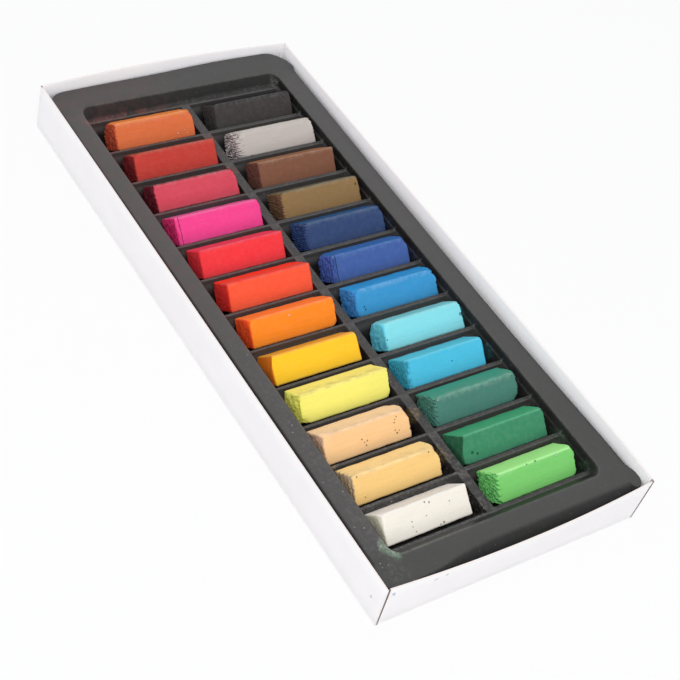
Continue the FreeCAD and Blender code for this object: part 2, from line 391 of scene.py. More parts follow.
def plastic():
    finish = Finish("satin_black_plastic")
    fine = finish.noise(3.0, 5.0, 0.65)
    cloud = finish.noise(0.05, 3.0, 0.5, shift=7.0)
    dust = finish.noise(0.8, 6.0, 0.7, shift=19.0)
    soft = finish.noise(0.28, 3.0, 0.5, shift=43.0)

    # Regions of the sheet. The place across a row is 0 at the root of its pocket.
    side, end = abs(finish.x), abs(finish.y)
    row = (finish.y + LAST_ROW) / ROW_PITCH
    across = ((row + 0.5).fract() - 0.5) * ROW_PITCH
    inside = side.ramp(RIM_EDGE_X + 0.6, FIELD_X - 0.2) * end.ramp(RIM_EDGE_Y + 0.6, FIELD_Y)
    below_rim = finish.z.ramp(12.0, 11.0)
    crest = finish.z.ramp(CREST_LEVEL - 0.28, CREST_LEVEL - 0.02) * below_rim
    wall = finish.z.ramp(CREST_LEVEL - 4.5, CREST_LEVEL - 2.0) * below_rim
    far_wall = across.ramp(3.5, 6.5) * across.ramp(8.2, 7.9)
    far_shelf = finish.y.ramp(FIELD_Y - 1.0, FIELD_Y - 0.3)
    # The rim leaves out the rolled edge, where shade is painted.
    rim = finish.z.ramp(RIM_LEVEL - 0.45, RIM_LEVEL - 0.02) * (1 - finish.attribute("turned"))

    # Painted light and shade: the rim, the crests and the pockets' far walls are painted a paler
    # black and carry the coat, while the hollows and the rolled edge are painted deep black as
    # shade.
    flat = rim.most(crest * (0.60 - 0.32 * far_shelf - 0.15 * finish.y.ramp(-60, -90)))
    flat = flat.most(wall * (0.14 + 0.72 * far_wall))
    tone = finish.mix(flat, HOLLOW_SHADE_BLACK, FLAT_LIGHT_BLACK)
    tone = finish.mix(cloud.ramp(0.35, 0.65) * 0.20 * rim, tone, (0.054, 0.056, 0.054, 1))
    # Painted shade: the right part towards the near end, the near end and the far end are darkened.
    right = finish.x.ramp(30, 48) * finish.y.ramp(60, -90)
    painted_shade_zones = right.most(finish.y.ramp(-96, -104)).most(finish.y.ramp(98, 104) * 0.6)
    tone = finish.mix(painted_shade_zones * 0.55, tone, (0.034, 0.035, 0.033, 1))

    # A reddish tint beside the warm colours and a grey to green one beside the cool ones,
    # strongest on the crests.
    warm = finish.x.ramp(8, -18) * finish.y.ramp(-75, 30)
    tint = finish.mix(warm, (0.065, 0.078, 0.076, 1), (0.190, 0.060, 0.055, 1))
    strength = 0.04 + 0.08 * warm + (0.10 + 0.22 * warm) * crest
    tone = finish.mix(soft.ramp(0.30, 0.70) * strength, tone, tint)

    # A thin grey film of dust, thicker on the ribs, by the last left rows and on the left rim.
    strip = finish.x.ramp(-48.5, -45) * finish.x.ramp(-38, -41.5) * finish.y.ramp(25, -70)
    last_rows = finish.x.ramp(4, -2) * finish.y.ramp(-62, -78) * inside
    film = (dust - 0.45).ramp(0.0, 0.22)
    tone = finish.mix(film * (0.02 + 0.10 * crest + 0.10 * strip + 0.16 * last_rows), tone,
                      (0.30, 0.29, 0.27, 1))

    # Loose specks, each in a cell of its own.
    cell = finish.node("ShaderNodeTexVoronoi", {"feature": "F1"},
                       {"Vector": finish.place, "Scale": 0.8})
    pick = finish.node("ShaderNodeSeparateColor", {}, {0: finish.other(cell, "Color")})
    radius = pick * 0.18 + 0.06
    speck = (finish.other(cell, "Distance") / radius).ramp(1.0, 0.6)
    chosen = finish.other(pick, "Green").ramp(0.80, 0.82)
    busy = (0.10 + 0.15 * inside + 0.6 * strip + 0.5 * last_rows).least(0.8)
    tone = finish.mix(speck * chosen * busy, tone, (0.40, 0.39, 0.37, 1))

    # Pastel dust shaken into the corners.
    for colour, reach, strength, places in PASTEL_DUST:
        for place in places:
            patch = finish.spot(place, reach, soft) * (0.25 + 0.75 * film)
            tone = finish.mix(patch * strength * 0.45, tone, linear(*colour))

    # A painted highlight along the rim's inner edge, broken into patches, strongest at the near
    # end.
    edge = side.ramp(RIM_EDGE_X + 2, RIM_EDGE_X + 1) * end.ramp(RIM_EDGE_Y + 2, RIM_EDGE_Y + 1)
    edge = edge * finish.z.ramp(RIM_LEVEL - 0.55, RIM_LEVEL - 0.22)
    edge = edge * finish.z.ramp(RIM_LEVEL + 0.02, RIM_LEVEL - 0.12)
    edge = edge * (0.30 + 0.70 * finish.y.ramp(-97, -102) * finish.x.ramp(0, -30))
    edge = edge * (dust + soft - 0.2).ramp(0.45, 0.95)
    tone = finish.mix(edge * 0.40, tone, (0.20, 0.21, 0.18, 1))

    # Painted highlights as pale streaks where the ribs meet the sides of the recess, and a pale
    # patch at one far corner.
    off = abs(row.fract() - 0.5 + 0.03 * (dust - 0.5)) * ROW_PITCH
    crease_highlight = off.ramp(0.40, 0.10) * side.ramp(FIELD_X - 0.5, FIELD_X - 0.1) * side.ramp(42, 41)
    crease_highlight = crease_highlight * finish.z.ramp(CREST_LEVEL - 0.9, CREST_LEVEL - 0.2)
    crease_highlight = crease_highlight * finish.z.ramp(CREST_LEVEL + 1.9, CREST_LEVEL + 0.5) * (0.25 + 0.75 * dust)
    far_corner = finish.spot((39.6, 100.9, 12.6), 2.2, dust) * film
    tone = finish.mix(crease_highlight.most(far_corner) * 0.42, tone, (0.36, 0.35, 0.35, 1))

    rough = 0.40 + 0.20 * film + 0.10 * (fine - 0.5)
    height = finish.bump(cloud * 2.0 + finish.noise(0.35, 2.0, shift=31.0) * 0.35, 0.5)
    height = finish.bump(fine, 0.014, height)
    # The coat follows the same mask as the painted light on the flats.
    return finish.shade(Base_Color=tone, Roughness=rough, Specular_IOR_Level=0.16,
                        Coat_Weight=0.35 * flat, Coat_Roughness=0.35, Normal=height)


def level(vert, height):
    return abs(vert.co.z - height) < 0.01


def level_faces(bm, height):
    return [face for face in bm.faces if all(level(vert, height) for vert in face.verts)]


def sheet_with_field(bm):
    """A flat sheet with its sunk field, whose sloping sides meet in rounded corners."""
    bmesh.ops.create_grid(bm, x_segments=1, y_segments=1, size=1)
    bmesh.ops.scale(bm, vec=(TRAY_X, TRAY_Y, 1), verts=bm.verts[:])
    bmesh.ops.translate(bm, vec=(0, 0, RIM_LEVEL), verts=bm.verts[:])
    for sign in (-1, 1):
        cut(bm, 0, sign * RIM_EDGE_X)
        cut(bm, 1, sign * RIM_EDGE_Y)
    middle = min(bm.faces, key=lambda face: face.calc_center_median().xy.length)
    field = bmesh.ops.extrude_discrete_faces(bm, faces=[middle])["faces"][0]
    bmesh.ops.scale(bm, vec=(FIELD_X / RIM_EDGE_X, FIELD_Y / RIM_EDGE_Y, 1), verts=field.verts[:])
    bmesh.ops.translate(bm, vec=(0, 0, CREST_LEVEL - RIM_LEVEL), verts=field.verts[:])
    corners = [edge for edge in bm.edges if abs(edge.verts[0].co.z - edge.verts[1].co.z) > 1]
    bevel(bm, corners, FIELD_CORNER, 6)


def sink_pockets(bm):
    """Two columns of pockets beside a spine, each a V below a short upright wall."""
    for row in range(ROWS):
        for offset in (-GROOVE_NEAR, GROOVE_HALF):
            cut(bm, 1, row * ROW_PITCH - LAST_ROW + offset, level_faces(bm, CREST_LEVEL))
    for sign in (-1, 1):
        cut(bm, 0, sign * POCKET_INNER, level_faces(bm, CREST_LEVEL))
    openings = []
    for face in level_faces(bm, CREST_LEVEL):
        centre = face.calc_center_bounds()
        row = (centre.y + LAST_ROW) / ROW_PITCH
        in_row = abs(row - round(row)) < 0.05 and -0.1 < row < ROWS - 0.9
        if in_row and abs(centre.x) > POCKET_INNER:
            openings.append(face)

    for face in bmesh.ops.extrude_discrete_faces(bm, faces=openings)["faces"]:
        centre = face.calc_center_bounds()
        for vert in face.verts:
            vert.co.z -= GROOVE_WALL
            vert.co.x += GROOVE_WALL * POCKET_DRAFT * (1 if vert.co.x < centre.x else -1)
            vert.co.y += WALL_INSET * (1 if vert.co.y < centre.y else -1)
    for row in range(ROWS):
        row_y = row * ROW_PITCH - LAST_ROW
        cut(bm, 1, row_y, [face for face in level_faces(bm, SHOULDER_LEVEL)
                           if abs(face.calc_center_bounds().y - row_y) < 1])
    for vert in bm.verts:
        if level(vert, SHOULDER_LEVEL):
            row = (vert.co.y + LAST_ROW) / ROW_PITCH
            off = (row - round(row)) * ROW_PITCH
            half = (GROOVE_HALF if off > 0 else GROOVE_NEAR) - WALL_INSET
            rise = (SHOULDER_LEVEL - GROOVE_ROOT) * min(1.0, abs(off) / half)
            vert.co.z = GROOVE_ROOT + rise
            if abs(off) < 0.1:
                outwards = math.copysign(1, vert.co.x)
                inner_end = abs(vert.co.x) < FIELD_X / 2
                vert.co.x += outwards * GROOVE_HALF * POCKET_DRAFT * (1 if inner_end else -1)


def round_edges(bm):
    """Rounds the pockets' corners and shoulders, the crests and the recess's upper edge."""

    def pocket_corner(edge):
        # Where a pocket's walls and slopes meet its ends.
        a, b = edge.verts[0].co, edge.verts[1].co
        if max(a.z, b.z) > CREST_LEVEL + 0.01 or abs(a.z - b.z) < 0.5:
            return False
        return abs(a.x - b.x) < 1.0

    def long_low(edge):
        # The top of a V, and its root.
        a, b = edge.verts[0].co, edge.verts[1].co
        if abs(a.x - b.x) < 10 or abs(a.z - b.z) > 0.01:
            return False
        return a.z < CREST_LEVEL - 0.5

    def crest_edge(edge):
        a, b = edge.verts
        if not (level(a, CREST_LEVEL) and level(b, CREST_LEVEL)) or len(edge.link_faces) != 2:
            return False
        return edge.calc_face_angle() > 0.8 and edge.is_convex \
            and max(abs(a.co.x), abs(b.co.x)) < FIELD_X - 0.02

    def rim_edge(edge):
        a, b = edge.verts
        if not (level(a, RIM_LEVEL) and level(b, RIM_LEVEL)) or len(edge.link_faces) != 2:
            return False
        return edge.calc_face_angle() > 0.3

    for wanted, radius, segments in ((pocket_corner, POCKET_CORNER, 4),
                                     (long_low, SHOULDER_ROUND, 3),
                                     (crest_edge, CREST_ROUND, 4),
                                     (rim_edge, RIM_EDGE_ROUND, 4)):
        bevel(bm, [edge for edge in bm.edges if wanted(edge)], radius, segments)


def fold_skirt(bm):
    """Rounds the outer corners, folds the skirt down and rolls the edge between it and the rim."""
    for side, end, radius in RIM_CORNERS:
        place = Vector((side * TRAY_X, end * TRAY_Y, RIM_LEVEL))
        corner = [vert for vert in bm.verts if (vert.co - place).length < 0.01]
        bevel(bm, corner, radius, 8, "VERTICES", False)

    # Cuts along the rim and then across it, so that it can settle in a curve.
    side_middle, end_middle = RIM_EDGE_X + 3.5, RIM_EDGE_Y + 4.0
    for sign in (-1, 1):
        cut(bm, 0, sign * side_middle, level_faces(bm, RIM_LEVEL))
        cut(bm, 1, sign * end_middle, level_faces(bm, RIM_LEVEL))
    for across, along, inner_edge, pitch, steps in ((0, 1, RIM_EDGE_X, 12.0, 8),
                                                    (1, 0, RIM_EDGE_Y, 10.0, 3)):
        for step in range(-steps, steps + 1):
            cut(bm, along, step * pitch, [face for face in level_faces(bm, RIM_LEVEL)
                                          if abs(face.calc_center_bounds()[across]) > inner_edge])

    border = [edge for edge in bm.edges if edge.is_boundary]
    made = bmesh.ops.extrude_edge_only(bm, edges=border)
    foot = [part for part in made["geom"] if isinstance(part, bmesh.types.BMVert)]
    bmesh.ops.translate(bm, vec=(0, 0, BOARD - RIM_LEVEL), verts=foot)
    rolled = [edge for edge in bm.edges if len(edge.link_faces) == 2
              and level(edge.verts[0], RIM_LEVEL) and level(edge.verts[1], RIM_LEVEL)
              and edge.calc_face_angle() > 1]
    bevel(bm, rolled, RIM_ROLL, 6)


def settled(x, y, z):
    """Where a point of the loose rim and skirt lies, with the rim lifted at both right corners."""
    side = smooth_step(abs(x), RIM_EDGE_X + 1.5, TRAY_X - 2)
    end = smooth_step(abs(y), RIM_EDGE_Y + 1.5, TRAY_Y - 2)
    rise = smooth_step(z, BOARD, RIM_LEVEL)
    out_x = -math.copysign(WAIST * max(0.0, 1 - (y / TRAY_Y) ** 2), x)
    up = 0
    if y > 0:
        # The far end bows outwards, lifts on the right and takes the recess's edge with it.
        out_y = 0.35 + 0.9 * (1 - (x / TRAY_X) ** 2)
        up = end * smooth_step(x, -10, 25) * (1.1 - 0.5 * side)
        if y < FIELD_Y + 5 and abs(x) < RIM_EDGE_X + 1.5:
            y += 0.9 * smooth_step(y, FIELD_Y - 1.0, FIELD_Y + 1.0) * smooth_step(z, 9, 12)
    else:
        out_y = 0.7 * smooth_step(x, -36, -14)
    if x > 0:
        # The right side is pushed outwards, most of all near the camera, and lifts at its ends.
        near = smooth_step(-y, 10, 100)
        out_x += rise * (1.2 * near + 0.45 * smooth_step(-y, -105, -60) * (1 - near))
        up = max(up, side * 0.6 * smooth_step(abs(y), 50, 100))
    return Vector((x + side * out_x, y + end * out_y * rise, z + up * rise))


def settled_field(x, y, z):
    """Where a point of the recess lies: the left ribs are narrower and the spine leans left."""
    across = (y + LAST_ROW + ROW_PITCH) % ROW_PITCH - (ROW_PITCH - GROOVE_NEAR)
    if x < -POCKET_INNER and z > SHOULDER_LEVEL + 0.1 and -RIB_TRIM_REACH < across < 0.3:
        y -= RIB_TRIM * max(0.0, min(1.0, 1 + across / RIB_TRIM_REACH))
    lean = SPINE_LEAN_NEAR + (SPINE_LEAN_FAR - SPINE_LEAN_NEAR) * smooth_step(y, 20, 90)
    lean *= smooth_step(z, 2.5, CREST_LEVEL - 1) * smooth_step(FIELD_Y - abs(y), -0.5, 2.0)
    x -= lean * (1 - smooth_step(abs(x), 3.0, 4.5))
    return settled(x, y, z)


def side_roll(y):
    """The radius of the roll along a side, wider towards the ends."""
    return 1.6 + 0.8 * (y / TRAY_Y) ** 2


def near_roll(x):
    """The radius of the near end's roll, which is pressed out along the left part."""
    return 0.9 + 2.9 * smooth_step(x, -38, -12)


def settle(bm):
    """Gives the roll its own radius on each straight side and settles the sheet in the box."""
    turned = bm.verts.layers.float.new("turned")
    roll = TRAY_Y - max(abs(vert.co.y) for vert in bm.verts if level(vert, RIM_LEVEL))
    for vert in bm.verts:
        x, y, z = vert.co
        if abs(x) < RIM_EDGE_X + 3 and abs(y) < RIM_EDGE_Y + 3:
            vert.co = settled_field(x, y, z)
            continue
        down = min(1.0, max(0.0, (RIM_LEVEL - z) / roll))
        if z > RIM_LEVEL - roll - 0.01:
            for axis, edge, along, radius in ((0, TRAY_X, y / TRAY_Y, side_roll(y)),
                                              (1, TRAY_Y, x / TRAY_X, near_roll(x))):
                place = (x, y)[axis]
                out = (abs(place) - (edge - roll)) / roll
                if out < -0.001 or abs(along) > 0.92 or (axis == 1 and y > 0):
                    continue
                vert.co[axis] = math.copysign(edge - radius + radius * out, place)
                vert.co.z = RIM_LEVEL - radius * down
        # How far the surface is turned down, counting less on the right and at the far end, sets
        # the painted shade on the rolled edge.
        share = (1.0 if y < 0 or x < 0 else 0.3) * (0.3 if y > TRAY_Y - 4 else 1.0)
        vert[turned] = share * smooth_step(math.sqrt(down), 0.0, 0.35)
        vert.co = settled(*vert.co)


def formed_tray():
    bm = bmesh.new()
    sheet_with_field(bm)
    sink_pockets(bm)
    round_edges(bm)
    fold_skirt(bm)
    settle(bm)
    bmesh.ops.recalc_face_normals(bm, faces=bm.faces[:])
    top = max(bm.faces, key=lambda face: face.calc_area() * (face.calc_center_bounds().z > 14))
    if top.normal.z < 0:
        bmesh.ops.reverse_faces(bm, faces=bm.faces[:])
    piece = finish_piece(bm, "formed_tray", "pastel_tray", "black_plastic", plastic(), 35)
    thick = piece.modifiers.new("sheet", "SOLIDIFY")
    thick.thickness = SHEET * MM
    thick.offset = -1


# Card box

# Small marks on the outside of the card: colour, reach and place.
CARD_MARKS = [
    ((70, 130, 175), 0.75, (-49.2, -BOX_Y, 15.6)),
    ((120, 165, 200), 0.55, (-48.6, -BOX_Y, 14.6)),
    ((110, 105, 105), 0.35, (-43.0, -BOX_Y, 12.0)),
    ((150, 150, 160), 0.8, (-39.0, -BOX_Y, 14.8)),
    ((150, 150, 160), 1.0, (-34.5, -BOX_Y - 0.5, 15.6)),
    ((150, 150, 160), 0.7, (-31, -BOX_Y - 1, 16.2)),
    ((150, 150, 150), 0.9, (-BOX_X, -109.5, 8.5)),
    ((160, 150, 140), 0.5, (-BOX_X, -102, 14.0)),
]


def card():
    finish = Finish("smooth_white_card")
    fibre = finish.noise(1.6, 5.0, 0.6)
    cloud = finish.noise(0.05, 3.0, 0.5, shift=11.0)
    blot = finish.noise(0.9, 3.0, 0.55, shift=17.0)
    marks = finish.noise(0.22, 4.0, 0.6, shift=23.0).ramp(0.62, 0.76) * 0.07
    side, end = abs(finish.x), abs(finish.y)
    inner = finish.attribute("inner")
    tone = finish.mix(cloud.ramp(0.3, 0.7), (0.885, 0.868, 0.868, 1), (0.905, 0.888, 0.89, 1))
    # Painted light: the inner faces of the walls are painted paler than the outer ones.
    tone = finish.mix(inner, tone, (0.985, 0.975, 0.985, 1))
    tone = finish.mix(marks, tone, (0.45, 0.46, 0.55, 1))
    for colour, reach, place in CARD_MARKS:
        mark = finish.spot(place, reach, blot) * (1 - inner)
        tone = finish.mix(mark * 0.55, tone, linear(*colour))

    # The top edges are painted buff brown, as painted shade along the tops of the walls, and the
    # corners where two walls meet are brown and rubbed.
    top = finish.z.ramp(BOX_TOP - 0.12, BOX_TOP - 0.02)
    tone = finish.mix(top * 0.45, tone, (0.62, 0.50, 0.42, 1))
    worn = end.ramp(BOX_Y - 0.35, BOX_Y - 0.05) * side.ramp(BOX_X - BOARD - 0.4, BOX_X - 0.1)
    tone = finish.mix(worn * 0.30 * blot.ramp(0.3, 0.6), tone, (0.50, 0.40, 0.36, 1))
    # Painted shade: a dark line along each slit where an end wall meets a side wall.
    lean = (finish.z - BOARD).most(0) / (BOX_TOP - BOARD)
    seam_shade = abs(side - (BOX_X - BOARD - SLIT / 2) - lean * 0.9).ramp(SLIT * 0.9, SLIT * 0.45)
    seam_shade = seam_shade * end.ramp(BOX_Y - 1.3, BOX_Y - 0.9)
    tone = finish.mix(seam_shade * 0.9, tone, (0.13, 0.085, 0.075, 1))
    height = finish.bump(cloud, 0.5)
    height = finish.bump(fibre, 0.010, height)
    return finish.shade(Base_Color=tone, Roughness=0.62 + 0.1 * fibre, Normal=height)


def side_lean(x, y):
    """How far the top of a side wall leans outwards at a place along it."""
    if x < 0:
        return 0.4 + 0.7 * smooth_step(-y, -BOX_Y, BOX_Y)
    return SIDE_LEAN * smooth_step(-y, -110, 60) * (1 - 0.6 * smooth_step(-y, 102, BOX_Y))


def card_box():
    bm = bmesh.new()

    def panel(low, high):
        made = bmesh.ops.create_cube(bm, size=1)["verts"]
        size = Vector(high) - Vector(low)
        bmesh.ops.scale(bm, vec=size, verts=made)
        bmesh.ops.translate(bm, vec=(Vector(low) + Vector(high)) / 2, verts=made)

    panel((-BOX_X, -BOX_Y, 0), (BOX_X, BOX_Y, BOARD))
    end_half = BOX_X - BOARD - SLIT
    for sign in (-1, 1):
        inner, outer = sorted((sign * (BOX_X - BOARD), sign * BOX_X))
        panel((inner, -BOX_Y, BOARD), (outer, BOX_Y, BOX_TOP))
        inner, outer = sorted((sign * (BOX_Y - BOARD), sign * BOX_Y))
        panel((-end_half, inner, BOARD), (end_half, outer, BOX_TOP))
    bevel(bm, bm.edges[:], CARD_EDGE_ROUND, 2)

    # Cuts, so that the walls can lean and bow, and then the leaning and bowing itself.
    width_pitch, length_pitch, steps = 4.9, 11.0, 10
    for step in range(-steps, steps + 1):
        cut(bm, 0, step * width_pitch)
        cut(bm, 1, step * length_pitch)
    for share in (0.25, 0.5, 0.75):
        cut(bm, 2, BOARD + share * (BOX_TOP - BOARD))
    inside = bm.verts.layers.float.new("inner")
    for vert in bm.verts:
        x, y, z = vert.co
        rise = max(0.0, (z - BOARD) / (BOX_TOP - BOARD))
        # Marks the inner faces, which are painted paler as painted light.
        vert[inside] = float(abs(x) < BOX_X - BOARD / 2 and abs(y) < BOX_Y - BOARD / 2)
        vert.co.x += side_lean(x, y) * rise * x / BOX_X
        if abs(y) > BOX_Y - BOARD - 0.1 and abs(x) < end_half + 0.01:
            bow = END_BOW * rise * max(0.0, 1 - (x / (BOX_X - BOARD)) ** 2)
            vert.co.y += math.copysign(bow, y)
    finish_piece(bm, "white_card_box", "card_box", "white_card", card(), 50)
